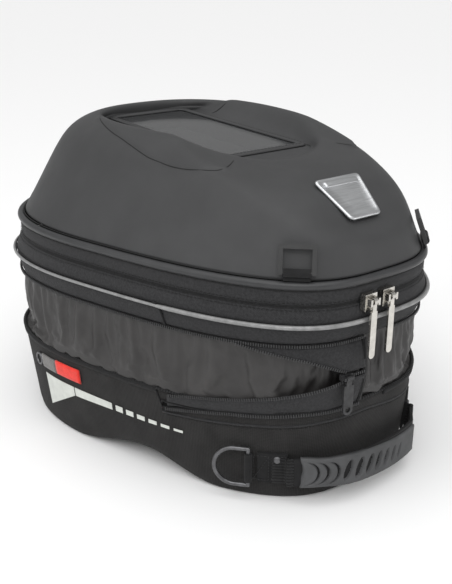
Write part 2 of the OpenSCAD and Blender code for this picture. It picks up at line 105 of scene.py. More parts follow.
def lid(th, u, inset=0.0):
    front = math.sin(math.radians(th)) < 0
    s = lean(u, 0.13, 0.46, 6.5) if front else lean(u, 0.08, 0.72, 10)
    b = WID * lean(u, 0.37, 0.52, 9) - inset
    p = plan(LEN * s - inset, b, th, FRONT - 0.5 * u, REAR, TAPER - 0.055 * u)
    q = (th % 360 - 270) / np.interp(u, [0.3, 0.53, 0.77, 1], [30, 40, 59, 78])
    share = max(0.0, 1 - q * q)
    d = np.interp(u, [0.34, 0.44, 0.5, 0.6, 0.8, 1], [0, 9, 12.5, 16, 20, 15]) * share
    f = math.radians(np.interp(u, [0.4, 0.8, 0.93, 1], [10, 25, 50, 90]))
    z = RIM_Z + LID_RISE * u - inset * u - d * math.sin(f)
    return np.array([p[0], p[1] + d * math.cos(f), z])


def smooth(x, lo, hi):
    t = np.clip((x - lo) / (hi - lo), 0, 1)
    return t * t * (3 - 2 * t)


# ---------------------------------------------------------------- mesh tools
def make(name, verts, faces, uvs=None, shade=True):
    """verts in millimetres before the seat shift; uvs one per vertex, in metres."""
    mesh = bpy.data.meshes.new(name)
    pts = [(float(v[0]) * MM, (float(v[1]) + SEAT) * MM, float(v[2]) * MM) for v in verts]
    mesh.from_pydata(pts, [], faces)
    if uvs is not None:
        layer = mesh.uv_layers.new(name="weave")
        index = np.empty(len(mesh.loops), dtype=np.int32)
        mesh.loops.foreach_get("vertex_index", index)
        layer.data.foreach_set("uv", np.asarray(uvs, np.float32)[index].ravel())
    mesh.validate()
    tidy_normals(mesh)
    if shade:
        mesh.shade_smooth()
    obj = bpy.data.objects.new(name, mesh)
    bpy.context.scene.collection.objects.link(obj)
    return obj


def tidy_normals(mesh):
    bm = bmesh.new()
    bm.from_mesh(mesh)
    bmesh.ops.recalc_face_normals(bm, faces=bm.faces)
    bm.to_mesh(mesh)
    bm.free()


def grid_faces(rows, cols, wrap_rows, wrap_cols):
    faces = []
    for k in range(rows if wrap_rows else rows - 1):
        for i in range(cols if wrap_cols else cols - 1):
            k2, i2 = (k + 1) % rows, (i + 1) % cols
            faces.append((k * cols + i, k * cols + i2, k2 * cols + i2, k2 * cols + i))
    return faces


def loft(name, rows, wrap_rows=True, wrap_cols=True, caps=False):
    """rows: equal-length rings of points. A torus when both wrap, a capped bar with caps."""
    a = np.asarray(rows, float)
    m, n = a.shape[:2]
    step = np.linalg.norm(np.diff(a, axis=1, append=a[:, :1]), axis=2).mean(axis=0)
    u = np.concatenate([[0], np.cumsum(step)[:-1]])
    rise = np.linalg.norm(np.diff(a, axis=0, prepend=a[:1]), axis=2).mean(axis=1)
    v = np.cumsum(rise)
    uv = np.stack([np.tile(u, (m, 1)), np.tile(v[:, None], (1, n))], axis=2) * MM
    faces = grid_faces(m, n, wrap_rows, wrap_cols)
    if caps:
        faces.append(tuple(range(n)))
        faces.append(tuple((m - 1) * n + i for i in range(n)))
    return make(name, a.reshape(-1, 3), faces, uv.reshape(-1, 2))


ANGLES = np.arange(0, 360, 1.25)


def ring_tube(name, centre, radius, sides=14):
    """A closed bead round the bag; centre(th) gives its middle, radius may be a function."""
    rows = []
    for k in range(sides):
        q = 2 * math.pi * k / sides
        row = []
        for th in ANGLES:
            p, n = centre(th)
            r = radius(th) if callable(radius) else radius
            out = r * math.cos(q)
            row.append([p[0] + n[0] * out, p[1] + n[1] * out, p[2] + r * math.sin(q)])
        rows.append(row)
    return loft(name, rows)


def path_tube(name, pts, radius, sides=8):
    """A round cord along points in millimetres."""
    pts = np.asarray(pts, float)
    n = len(pts)
    turns = np.arange(sides) * 2 * math.pi / sides
    rows = []
    for i in range(n):
        a, b = pts[max(0, i - 1)], pts[min(n - 1, i + 1)]
        t = (b - a) / (np.linalg.norm(b - a) + 1e-9)
        side = np.cross(t, [0, 0, 1.0])
        if np.linalg.norm(side) < 1e-3:
            side = np.cross(t, [0, 1.0, 0])
        side = side / np.linalg.norm(side)
        up = np.cross(side, t)
        rows.append([pts[i] + radius * (math.cos(q) * side + math.sin(q) * up) for q in turns])
    return loft(name, rows, wrap_rows=False, caps=True)


def join(objs, name):
    bpy.ops.object.select_all(action="DESELECT")
    for o in objs:
        o.select_set(True)
    bpy.context.view_layer.objects.active = objs[0]
    bpy.ops.object.join()
    objs[0].name = name
    return objs[0]


def boxes(name, frames, size):
    """Many small blocks in one mesh. frames: (centre, along, out, up) in millimetres."""
    verts, faces = [], []
    for centre, along, out, up in frames:
        base = len(verts)
        for sx in (-1, 1):
            for sy in (-1, 1):
                for sz in (-1, 1):
                    corner = along * sx * size[0] / 2 + out * sy * size[1] / 2 + up * sz * size[2] / 2
                    verts.append(centre + corner)
        for f in ((0, 1, 3, 2), (4, 6, 7, 5), (0, 4, 5, 1), (2, 3, 7, 6), (0, 2, 6, 4), (1, 5, 7, 3)):
            faces.append(tuple(base + i for i in f))
    return make(name, verts, faces, np.zeros((len(verts), 2)), shade=False)


def resample(pts, pitch):
    pts = np.asarray(pts, float)
    seg = np.linalg.norm(np.diff(pts, axis=0), axis=1)
    s = np.concatenate([[0], np.cumsum(seg)])
    count = max(2, int(s[-1] / pitch))
    want = (np.arange(count) + 0.5) * s[-1] / count
    return np.stack([np.interp(want, s, pts[:, k]) for k in range(3)], axis=1)


def along_frames(pts, pitch, outward):
    """Evenly spaced frames along a path; outward(point) gives the direction away from the bag."""
    p = resample(pts, pitch)
    t = np.gradient(p, axis=0)
    t /= np.linalg.norm(t, axis=1)[:, None]
    result = []
    for c, a in zip(p, t):
        o = outward(c)
        o = o - a * np.dot(o, a)
        o /= np.linalg.norm(o)
        result.append((c, a, o, np.cross(a, o)))
    return result


def from_axis(c):
    th = math.degrees(math.atan2(c[1], c[0]))
    best = min(np.arange(th - 24, th + 24, 2.0), key=lambda t: np.hypot(*(wall(t, c[2])[:2] - c[:2])))
    n = wall_normal(best, c[2])
    return np.array([n[0], n[1], 0.0])


def threads(name, pts, pitch, length, outward, thick=0.5, lift=0.0):
    """A row of sewn stitches, each a small raised lozenge."""
    verts, faces = [], []
    for c, a, o, up in along_frames(pts, pitch, outward):
        base = len(verts)
        h = length / 2
        for t, w in ((-h, 0.25), (-h * 0.5, 1.0), (h * 0.5, 1.0), (h, 0.25)):
            for q in (0, 90, 180, 270):
                cq, sq = math.cos(math.radians(q)), math.sin(math.radians(q))
                verts.append(c + o * lift + a * t + (o * cq + up * sq) * thick * w * 0.5)
        for k in range(3):
            for i in range(4):
                j = (i + 1) % 4
                here = base + 4 * k
                faces.append((here + i, here + j, here + 4 + j, here + 4 + i))
        faces.append((base + 3, base + 2, base + 1, base))
        faces.append((base + 12, base + 13, base + 14, base + 15))
    return make(name, verts, faces, np.zeros((len(verts), 2)))


# ---------------------------------------------------------------- materials
class Mat:
    def __init__(self, name, color, rough, metal=0.0, spec=0.5, sheen=0.0, coat=0.0):
        self.m = bpy.data.materials.new(name)
        self.m.use_nodes = True
        self.t = self.m.node_tree
        self.b = self.t.nodes["Principled BSDF"]
        self.b.inputs["Base Color"].default_value = (*color, 1)
        self.b.inputs["Roughness"].default_value = rough
        self.b.inputs["Metallic"].default_value = metal
        self.b.inputs["Specular IOR Level"].default_value = spec
        self.b.inputs["Sheen Weight"].default_value = sheen
        self.b.inputs["Coat Weight"].default_value = coat
        self.color = color
        self.height = None

    def node(self, kind, **props):
        n = self.t.nodes.new(kind)
        for k, v in props.items():
            setattr(n, k, v)
        return n

    def link(self, a, b):
        self.t.links.new(a, b)

    def math(self, op, a, b=None, c=None):
        n = self.node("ShaderNodeMath", operation=op)
        for i, x in enumerate((a, b, c)):
            if x is None:
                continue
            if isinstance(x, (int, float)):
                n.inputs[i].default_value = x
            else:
                self.link(x, n.inputs[i])
        return n.outputs[0]

    def coords(self, kind):
        if kind == "UV":
            return self.node("ShaderNodeUVMap", uv_map="weave").outputs[0]
        return self.node("ShaderNodeTexCoord").outputs[kind]

    def noise(self, scale, detail=3.0, rough=0.55, stretch=None):
        n = self.node("ShaderNodeTexNoise")
        n.inputs["Scale"].default_value = scale
        n.inputs["Detail"].default_value = detail
        n.inputs["Roughness"].default_value = rough
        src = self.coords("Object")
        if stretch:
            m = self.node("ShaderNodeMapping")
            m.inputs["Scale"].default_value = stretch
            self.link(src, m.inputs[0])
            src = m.outputs[0]
        self.link(src, n.inputs["Vector"])
        return n.outputs["Fac"]

    def weave(self, pitch, kind="plain"):
        """Threads crossing at a pitch in metres, on the weave coordinates."""
        sep = self.node("ShaderNodeSeparateXYZ")
        self.link(self.coords("UV"), sep.inputs[0])
        k = 2 * math.pi / pitch
        if kind == "diagonal":
            p = self.math("ADD", sep.outputs[0], sep.outputs[1])
            q = self.math("SUBTRACT", sep.outputs[0], sep.outputs[1])
        else:
            p, q = sep.outputs[0], sep.outputs[1]
        a = self.math("SINE", self.math("MULTIPLY", p, k))
        b = self.math("SINE", self.math("MULTIPLY", q, k * (0.55 if kind == "rib" else 1.0)))
        if kind == "rib":
            return self.math("MULTIPLY_ADD", a, 0.4, self.math("MULTIPLY_ADD", b, 0.1, 0.5))
        return self.math("MULTIPLY_ADD", self.math("MULTIPLY", a, b), 0.5, 0.5)

    def tint(self, fac, dark=0.8, light=1.2):
        """Colour varies between darker and lighter with fac."""
        ramp = self.node("ShaderNodeValToRGB")
        ramp.color_ramp.elements[0].position = 0.3
        ramp.color_ramp.elements[1].position = 0.7
        ramp.color_ramp.elements[0].color = (*[c * dark for c in self.color], 1)
        ramp.color_ramp.elements[1].color = (*[min(1, c * light) for c in self.color], 1)
        self.link(fac, ramp.inputs[0])
        self.link(ramp.outputs[0], self.b.inputs["Base Color"])
        return self

    def gloss(self, fac, lo, hi):
        n = self.node("ShaderNodeMapRange")
        n.inputs["To Min"].default_value = lo
        n.inputs["To Max"].default_value = hi
        self.link(fac, n.inputs[0])
        self.link(n.outputs[0], self.b.inputs["Roughness"])
        return self

    def bump(self, fac, strength, distance):
        n = self.node("ShaderNodeBump")
        n.inputs["Strength"].default_value = strength
        n.inputs["Distance"].default_value = distance
        self.link(fac, n.inputs["Height"])
        if self.height is not None:
            self.link(self.height, n.inputs["Normal"])
        self.height = n.outputs[0]
        self.link(self.height, self.b.inputs["Normal"])
        return self


def build_materials():
    mats = {}

    m = Mat("moulded_skin", (0.041, 0.0414, 0.0425), 0.5, spec=0.34)
    m.tint(m.noise(28, 4), 0.9, 1.1).gloss(m.noise(60, 3), 0.46, 0.6)
    m.bump(m.noise(2600, 2), 0.35, 0.0003).bump(m.noise(30, 2), 0.12, 0.002)
    mats["lid"] = m.m

    m = Mat("piping_cover", (0.03, 0.0305, 0.032), 0.4, spec=0.45)
    m.tint(m.noise(60, 3), 0.85, 1.15).gloss(m.noise(120, 2), 0.34, 0.5)
    m.bump(m.noise(1500, 2), 0.25, 0.0003)
    mats["piping"] = m.m

    m = Mat("band_weave", (0.026, 0.026, 0.0272), 0.82, spec=0.2, sheen=0.06)
    w = m.weave(0.0011)
    m.tint(m.math("MULTIPLY_ADD", w, 0.35, m.math("MULTIPLY", m.noise(620, 3, 0.7), 0.65)), 0.5, 1.75)
    m.bump(w, 0.7, 0.00035).bump(m.noise(260, 3), 0.35, 0.0006)
    mats["band"] = m.m

    m = Mat("gusset_nylon", (0.026, 0.0245, 0.024), 0.42, spec=0.5)
    w = m.weave(0.0006)
    m.tint(m.noise(45, 4), 0.78, 1.25).gloss(m.noise(70, 3), 0.4, 0.58)
    m.bump(w, 0.3, 0.0001).bump(m.noise(160, 3), 0.25, 0.0008)
    mats["gusset"] = m.m

    m = Mat("base_weave", (0.022, 0.0213, 0.021), 0.86, spec=0.15, sheen=0.05)
    w = m.weave(0.0024, "diagonal")
    m.tint(m.math("MULTIPLY_ADD", w, 0.45, m.math("MULTIPLY", m.noise(70, 4), 0.55)), 0.62, 1.45)
    m.bump(w, 0.8, 0.0005).bump(m.noise(300, 3), 0.3, 0.0005)
    mats["base"] = m.m

    m = Mat("webbing", (0.012, 0.012, 0.0124), 0.85, spec=0.2, sheen=0.05)
    w = m.weave(0.0024, "rib")
    m.tint(m.math("MULTIPLY_ADD", w, 0.6, m.math("MULTIPLY", m.noise(200, 3), 0.4)), 0.6, 1.6)
    m.bump(w, 0.9, 0.0006)
    mats["webbing"] = m.m

    m = Mat("zip_tape", (0.012, 0.012, 0.0124), 0.8, spec=0.2, sheen=0.04)
    m.tint(m.noise(500, 3), 0.7, 1.4).bump(m.noise(900, 2), 0.5, 0.0004)
    mats["tape"] = m.m

    m = Mat("zip_coil", (0.03, 0.03, 0.031), 0.38, spec=0.5)
    m.tint(m.noise(200, 2), 0.8, 1.2)
    mats["coil"] = m.m

    m = Mat("sewing_thread", (0.03, 0.03, 0.031), 0.7, spec=0.3)
    m.tint(m.noise(800, 2), 0.7, 1.4)
    mats["thread"] = m.m

    # dark thread for real stitching and seams, also used for the lid's crease cords, which are painted
    # crease shade
    m = Mat("thread_and_crease_shade", (0.011, 0.011, 0.011), 0.75, spec=0.3)
    m.tint(m.noise(800, 2), 0.7, 1.4)
    mats["thread_and_crease_shade"] = m.m

    m = Mat("reflective_cord", (0.24, 0.24, 0.24), 0.36, metal=0.2, spec=0.6)
    m.tint(m.noise(220, 3), 0.75, 1.15).gloss(m.noise(150, 3), 0.28, 0.45)
    m.bump(m.noise(2200, 2), 0.3, 0.0002)
    mats["reflector"] = m.m

    m = Mat("reflective_film", (0.62, 0.64, 0.6), 0.48, spec=0.5)
    m.tint(m.noise(120, 4), 0.88, 1.06).bump(m.noise(1800, 2), 0.3, 0.0002)
    mats["film_trim"] = m.m

    m = Mat("satin_badge", (0.6, 0.61, 0.62), 0.3, metal=1.0)
    m.tint(m.noise(60, 3, stretch=(1, 14, 14)), 0.82, 1.1)
    m.gloss(m.noise(300, 3, stretch=(0.6, 16, 16)), 0.24, 0.42)
    m.bump(m.noise(700, 2, stretch=(0.5, 14, 14)), 0.12, 0.0002)
    mats["badge"] = m.m

    m = Mat("nickel", (0.62, 0.6, 0.56), 0.24, metal=1.0)
    m.tint(m.noise(150, 3), 0.85, 1.1).gloss(m.noise(400, 3), 0.16, 0.34)
    m.bump(m.noise(900, 2), 0.1, 0.0002)
    mats["nickel"] = m.m

    m = Mat("painted_zinc", (0.03, 0.03, 0.031), 0.4, metal=0.3, spec=0.5)
    m.tint(m.noise(300, 3), 0.7, 1.5).gloss(m.noise(500, 2), 0.3, 0.5)
    mats["zinc"] = m.m

    m = Mat("ring_metal", (0.13, 0.13, 0.135), 0.34, metal=0.85)
    m.tint(m.noise(160, 3), 0.75, 1.25).gloss(m.noise(300, 3), 0.28, 0.45)
    m.bump(m.noise(900, 2), 0.15, 0.0002)
    mats["ring"] = m.m

    m = Mat("steel", (0.5, 0.5, 0.51), 0.32, metal=1.0)
    m.tint(m.noise(120, 3), 0.85, 1.1).gloss(m.noise(300, 3), 0.25, 0.42)
    mats["steel"] = m.m

    m = Mat("black_moulding", (0.016, 0.0162, 0.0165), 0.4, spec=0.5)
    m.tint(m.noise(80, 3), 0.8, 1.2).gloss(m.noise(200, 3), 0.38, 0.55)
    m.bump(m.noise(1400, 2), 0.3, 0.0003)
    mats["plastic"] = m.m

    m = Mat("grip_rubber", (0.06, 0.061, 0.063), 0.55, spec=0.35)
    m.tint(m.noise(70, 3), 0.82, 1.18).gloss(m.noise(150, 3), 0.52, 0.7)
    m.bump(m.noise(1600, 2), 0.35, 0.0003)
    mats["rubber"] = m.m

    m = Mat("red_tab", (0.78, 0.035, 0.022), 0.75, spec=0.3, sheen=0.2)
    w = m.weave(0.0009)
    m.tint(m.math("MULTIPLY_ADD", w, 0.4, m.math("MULTIPLY", m.noise(200, 3), 0.6)), 0.8, 1.15)
    m.bump(w, 0.5, 0.0002)
    mats["red"] = m.m

    m = Mat("grey_tab", (0.16, 0.155, 0.15), 0.8, spec=0.3, sheen=0.2)
    w = m.weave(0.0014, "rib")
    m.tint(m.math("MULTIPLY_ADD", w, 0.5, m.math("MULTIPLY", m.noise(200, 3), 0.5)), 0.7, 1.3)
    m.bump(w, 0.5, 0.0003)
    mats["grey"] = m.m

    m = Mat("lining", (0.02, 0.02, 0.021), 0.85, spec=0.25, sheen=0.2)
    m.tint(m.noise(120, 3), 0.7, 1.3).bump(m.noise(900, 2), 0.4, 0.0003)
    mats["lining"] = m.m

    # near-black fill for openings: painted shade inside the zip garage and the grip's cut-outs
    m = Mat("painted_shade_hole", (0.004, 0.004, 0.004), 0.9, spec=0.1)
    m.tint(m.noise(300, 2), 0.7, 1.4)
    mats["hole"] = m.m

    m = Mat("clear_film", (0.09, 0.092, 0.095), 0.08, spec=0.6, coat=0.4)
    m.gloss(m.noise(40, 2), 0.05, 0.12).bump(m.noise(22, 2), 0.12, 0.002)
    m.b.inputs["Alpha"].default_value = 0.45
    mats["clear"] = m.m
    return mats


MATS = build_materials()


def dress(obj, material):
    obj.data.materials.clear()
    obj.data.materials.append(MATS[material])
    return obj


def piece(obj, material, body, replaces=()):
    dress(obj, material)
    if body:
        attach(obj, body)
    if replaces:
        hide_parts(*replaces)
    return obj


def keep_node(name, material, bevel=0.0):
    """A piece shown as the CAD made it, with an optional small bevel on its sharp edges."""
    obj = nodes[name]
    for i in range(len(obj.material_slots)):
        obj.material_slots[i].material = MATS[material]
    if not obj.material_slots:
        obj.data.materials.append(MATS[material])
    if bevel:
        mod = obj.modifiers.new("edge", "BEVEL")
        mod.width = bevel
        mod.segments = 2
        mod.limit_method = "ANGLE"
        mod.angle_limit = math.radians(35)


def stretch(a, b, step):
    n = max(1, int(math.ceil(abs(b - a) / step)))
    return [a + (b - a) * i / n for i in range(n + 1)]


# ---------------------------------------------------------------- moulded lid
HOLE_W, HOLE_L, SHELF = 37.0, 84.0, 6.0
SHELF_Z, HOLLOW = -0.3, 4.0
CREASE = [(-50, 88), (-66, 84), (-74, 76), (-84, 40), (-86.5, 0), (-86, -29)]
CREASE += [(-78, -60), (-70, -75), (-62, -80), (-50, -72)]
BADGE_LOW, BADGE_HIGH, BADGE_LIFT = 0.48, 0.79, 2.7
WIN_Y, WIN_Z, TILT = 36.0, 235.0, math.radians(1.9)


def window_point(th, x, y, z):
    n = 30
    c, s = math.cos(math.radians(th)), math.sin(math.radians(th))
    r = (abs(c) ** n + abs(s) ** n) ** (-1 / n)
    v = y * r * s
    return np.array([x * r * c, WIN_Y + v, WIN_Z + z + v * math.sin(TILT)])


def pad_side(x, y):
    """Signed distance, positive inside, to the flat panel beside the window."""
    edge = [(-60, 92), (-73, 80), (-85, 25), (-86, -29), (-75, -66), (-63, -80), (-46, -70), (-46, 92)]
    px, py = -abs(x), y
    inside, best = False, 1e9
    for i in range(len(edge)):
        ax, ay = edge[i]
        bx, by = edge[(i + 1) % len(edge)]
        if (ay > py) != (by > py) and px < (bx - ax) * (py - ay) / (by - ay) + ax:
            inside = not inside
        along = (px - ax) * (bx - ax) + (py - ay) * (by - ay)
        t = max(0, min(1, along / ((bx - ax) ** 2 + (by - ay) ** 2)))
        best = min(best, math.hypot(px - ax - t * (bx - ax), py - ay - t * (by - ay)))
    return best if inside else -best


def build_lid():
    levels = np.concatenate([np.linspace(0.08, 0.72, 34), np.linspace(0.735, 1, 30)])
    angles = np.arange(0, 360, 1.0)
    rows = [[lid(th, u) for th in angles] for u in levels]
    # from the crest to the shelf round the window, hollowed so that the window stays in view
    shelf_edge = [window_point(th, HOLE_W + SHELF, HOLE_L + SHELF, SHELF_Z) for th in angles]
    for w in np.linspace(0, 1, 16)[1:]:
        sag = np.array([0, 0, HOLLOW * math.sin(math.pi * w) * (1 if w < 0.95 else 0)])
        rows.append([lid(th, 1) * (1 - w) + p * w - sag for th, p in zip(angles, shelf_edge)])
    outer = np.array(rows)
    # round over the creases and the crest without moving the rim or the shelf
    top = len(outer) - 1
    for _ in range(11):
        blur = 0.25 * outer[:-2] + 0.5 * outer[1:-1] + 0.25 * outer[2:]
        outer[6:top] = blur[5 : top - 1]
        side = 0.25 * np.roll(outer, 1, axis=1) + 0.5 * outer + 0.25 * np.roll(outer, -1, axis=1)
        outer[6:top] = side[6:top]
    # raised flat panels beside the window
    for k in range(30, top):
        for i in range(len(angles)):
            d = pad_side(outer[k, i, 0], outer[k, i, 1])
            if d > -4:
                rise = float(smooth(d, -1.6, 1.4)) * float(smooth(abs(outer[k, i, 0]), 48, 68))
                outer[k, i, 2] += 1.6 * rise
    shelf = [[window_point(th, HOLE_W, HOLE_L, z) for th in angles] for z in (SHELF_Z, -1.5, -3.0)]
    inner = [outer[k] - np.array([0, 0, 3.0]) for k in range(top, 58, -6)]
    for k in range(56, -1, -7):
        u = levels[k]
        inner.append(np.array([lid(th, u, 3.0) for th in angles]))
    rim = np.array([lid(th, levels[0], 1.5) - np.array([0, 0, 0.2]) for th in angles])
    rows = [rim] + list(outer) + [np.array(r) for r in shelf] + inner
    obj = loft("lid_skin", rows)
    piece(obj, "lid", "lid", ["lid_shell"])
    # thin dark cords along the creases round the panels beside the window: painted crease shade
    lines = []
    for side in (-1, 1):
        lines.append(crease_shade_line(obj, CREASE, side))
    piece(join(lines, "crease_shade_lines"), "thread_and_crease_shade", "lid")


def crease_shade_line(obj, corners, side):
    """A thin dark cord round the flat panel beside the window, laid on the lid's surface: painted shade of
    the crease.
    """
    for _ in range(3):
        cut = [corners[0]]
        for (ax, ay), (bx, by) in zip(corners, corners[1:]):
            cut.append((0.75 * ax + 0.25 * bx, 0.75 * ay + 0.25 * by))
            cut.append((0.25 * ax + 0.75 * bx, 0.25 * ay + 0.75 * by))
        corners = cut + [corners[-1]]
    pts = []
    for k in range(len(corners) - 1):
        (ax, ay), (bx, by) = corners[k], corners[k + 1]
        n = max(1, int(math.hypot(bx - ax, by - ay) / 1.5))
        for i in range(n):
            x, y = ax + (bx - ax) * i / n, ay + (by - ay) * i / n
            above = Vector((-side * x * MM, (y + SEAT) * MM, 0.3))
            hit, where, _, _ = obj.ray_cast(above, Vector((0, 0, -1)))
            if hit:
                pts.append(np.array([where.x / MM, where.y / MM - SEAT, where.z / MM - 0.12]))
    pts = np.array(pts)
    for _ in range(6):
        pts[1:-1] = 0.25 * pts[:-2] + 0.5 * pts[1:-1] + 0.25 * pts[2:]
    return path_tube("crease_shade_line", pts, 0.4, 6)


def rounded_ring(hx, hy, r, count=96, x0=0.0, y0=0.0):
    pts = []
    per = count // 4
    for q, (sx, sy) in enumerate(((1, 1), (-1, 1), (-1, -1), (1, -1))):
        for k in range(per):
            a = math.radians(90 * q + 90 * k / (per - 1))
            pts.append((x0 + sx * (hx - r) + r * math.cos(a), y0 + sy * (hy - r) + r * math.sin(a)))
    return pts


def in_window(x, y, z):
    ct, st = math.cos(TILT), math.sin(TILT)
    return np.array([x, WIN_Y + y * ct - z * st, WIN_Z + z * ct + y * st])


def build_window():
    w, h = 35.0, 80.0
    prof = [(6, 0.0), (6, 0.7), (5.2, 1.35), (3.4, 1.6), (1.6, 1.45), (0.5, 1.15), (0, 0.6), (0, 0.0)]
    rows = []
    for o, z in prof:
        rows.append([in_window(x, y, z) for x, y in rounded_ring(w + o, h + o * 1.33, 4 + 0.6 * o)])
    obj = loft("window_surround", rows)
    piece(obj, "lid", "lid", ["window_frame"])
    path = [in_window(x, y, 1.62) for x, y in rounded_ring(w + 3.4, h + 4.5, 6)]
    up = np.array([0, 0, 1.0])
    st = threads("window_stitches", path + [path[0]], 3.4, 2.5, lambda c: up, 0.55)
    piece(st, "thread", "lid")
    keep_node("window_film", "clear")
    keep_node("phone_pocket", "lining")
    keep_node("pocket_flap", "lining", 0.0004)


def trapezoid(top, low, tall, r, count=80):
    corners = [(top, tall), (-top, tall), (-low, -tall), (low, -tall)]
    pts = []
    per = count // 4
    for q in range(4):
        p0, p, p1 = (Vector(corners[q - 1]), Vector(corners[q]), Vector(corners[(q + 1) % 4]))
        a, b = (p0 - p).normalized(), (p1 - p).normalized()
        start, end = p + a * r, p + b * r
        for k in range(per):
            t = k / (per - 1)
            pts.append(tuple((start * (1 - t) ** 2 + p * 2 * t * (1 - t) + end * t * t)))
    return pts


def build_badge():
    low, high = lid(270, BADGE_LOW), lid(270, BADGE_HIGH)
    mid = (low + high) / 2
    tilt = math.atan2(high[2] - low[2], high[1] - low[1])
    ct, st = math.cos(tilt), math.sin(tilt)

    def place(x, y, z):
        z = z + BADGE_LIFT - 0.0012 * x * x
        return np.array([x, mid[1] + y * ct - z * st, mid[2] + y * st + z * ct])

    prof = [(0, 0.0), (0, 1.3), (0.5, 1.9), (1.1, 2.1), (2.0, 2.1), (2.5, 1.8), (9, 1.78), (13, 1.75)]
    rows = []
    for inset, z in prof:
        k = max(0.12, 1 - inset / 15)
        ring = trapezoid(21.5 - inset, 14.5 - inset * 0.95, 19 - inset, max(0.4, 4.2 * k))
        rows.append([place(x, y, z) for x, y in ring])
    obj = loft("badge_blank", rows, wrap_rows=False, caps=True)
    piece(obj, "badge", "lid", ["badge_plate"])
    strip = rounded_ring(15.5, 2.6, 1.2, 40, 0, 13.2)
    prof = [(0, 1.7), (0, 2.2), (0.5, 2.6), (1.6, 2.7)]
    rows = []
    for inset, z in prof:
        across_x, along_y = 1 - inset / 15.5, 1 - inset / 2.8
        rows.append([place(x * across_x, 13.2 + (y - 13.2) * along_y, z) for x, y in strip])
    obj = loft("badge_strip", rows, wrap_rows=False, caps=True)
    piece(obj, "badge", "lid")


# ---------------------------------------------------------------- bands and piping
def soften(th, z, amount):
    """Slow, small waviness of sewn cloth, repeatable and continuous round the ring."""
    a = math.radians(th)
    slow, fast = math.sin(7 * a + 0.05 * z), math.sin(17 * a + 1.3 + 0.11 * z)
    return amount * (0.5 * slow + 0.3 * fast + 0.2 * math.sin(31 * a + 0.4))


def band(name, z0, z1, puff, inner=2.0, steps=12, wave=0.35):
    zs = np.linspace(z0, z1, steps)
    rows = []
    for z in zs:
        t = (z - z0) / (z1 - z0)
        o = puff * math.sin(math.pi * t) ** 0.7
        rows.append([wall(th, z, o + soften(th, z, wave) * math.sin(math.pi * t)) for th in ANGLES])
    for z in zs[::-3]:
        rows.append([wall(th, z, -inner) for th in ANGLES])
    return loft(name, rows)


def build_bands():
    piece(band("lid_band_cloth", 155.25, 166.4, 0.5), "band", "lid", ["lid_band"])
    low = band("upper_band_low", BAND_LOW + 0.1, 141.6, 0.5)
    high = band("upper_band_high", 142.4, 154.75, 0.6)
    piece(join([low, high], "upper_band_cloth"), "band", "upper", ["upper_band"])
    bead = ring_tube("lid_piping_bead", lambda th: (wall(th, 169.6, -0.6), wall_normal(th, 169.6)), 3.0, 18)
    piece(bead, "piping", "lid", ["lid_piping"])
    for k, (z, out) in enumerate(((RIM_Z, 0.35), (172.75, -3.0))):
        lift = np.array([0, 0, max(0, z - RIM_Z)])
        seam_at = lambda th: (wall(th, min(z, RIM_Z), out) + lift, wall_normal(th, 166))
        seam = ring_tube("lid_seam_%d" % k, seam_at, 0.55, 8)
        piece(seam, "thread_and_crease_shade", "lid")
    cord_at = lambda th: (wall(th, 142, 1.75), wall_normal(th, 142))
    cord = ring_tube("reflective_bead", cord_at, cord_size, 12)
    piece(cord, "reflector", "upper", ["reflective_piping"])
    for k, z in enumerate((140.1, 143.9)):
        seam = ring_tube("cord_seam_%d" % k, lambda th: (wall(th, z, 0.9), wall_normal(th, 142)), 0.5, 8)
        piece(seam, "tape", "upper")
    for name, z, body in (("zip_stitches_high", 157.4, "lid"), ("zip_stitches_low", 152.6, "upper")):
        path = [wall(th, z, 0.75) for th in list(ANGLES) + [360]]
        st = threads(name, path, 3.1, 2.3, from_axis, 0.5, 0.1)
        piece(st, "thread_and_crease_shade", body)
    keep_node("main_zip_upper", "tape")
    keep_node("main_zip_lower", "tape")


def cord_size(th):
    """The cord is full size across the rider's end and thinner along the rest."""
    q = abs((th - 270 + 180) % 360 - 180)
    return 1.15 + 0.5 * float(1 - smooth(q, 65, 69))


def build_kinks():
    for name, flip in (("left", False), ("right", True)):
        pts = []
        for k in range(13):
            t = k / 12
            th = 201.2 + 2.6 * t**0.6
            th = 180 - th if flip else th
            pts.append(wall(th, 143.6 - 16 * t**1.6, 1.9 - 0.9 * t))
        piece(path_tube("cord_kink_%s" % name, pts, 0.85), "tape", "upper")


# ---------------------------------------------------------------- gusset and expansion zip
END = 261.5


def fold(th, t):
    """Creases of gathered cloth: slanting ridges, with short puckers at the sewn lower edge."""
    a = math.radians(th)
    x, y = 2.9 * math.cos(a), 2.9 * math.sin(a)
    warp = 0.5 * noise.noise(Vector((1.3 * x, 1.3 * y, 0.8 * t + 4)))
    p = Vector((x * 1.25 + 0.55 * t + warp, y * 1.25 - 0.5 * t, 0.75 * t + 0.6 * warp))
    ridge = 1 - abs(noise.noise(p * 1.9)) * 3.2
    fine = 1 - abs(noise.noise(p * 4.6 + Vector((7, 3, 1)))) * 3.2
    swell = math.sin(math.pi * t) ** 0.6
    pucker = (1 - t) ** 4 * math.sin(62 * a + 3 * warp) * 0.7 + t**5 * math.sin(48 * a) * 0.4
    ease = math.sin(math.pi * min(1, t * 6 + 0.1)) ** 0.5
    return swell * (2.5 * ridge + 1.1 * fine - 1.2) + pucker * ease


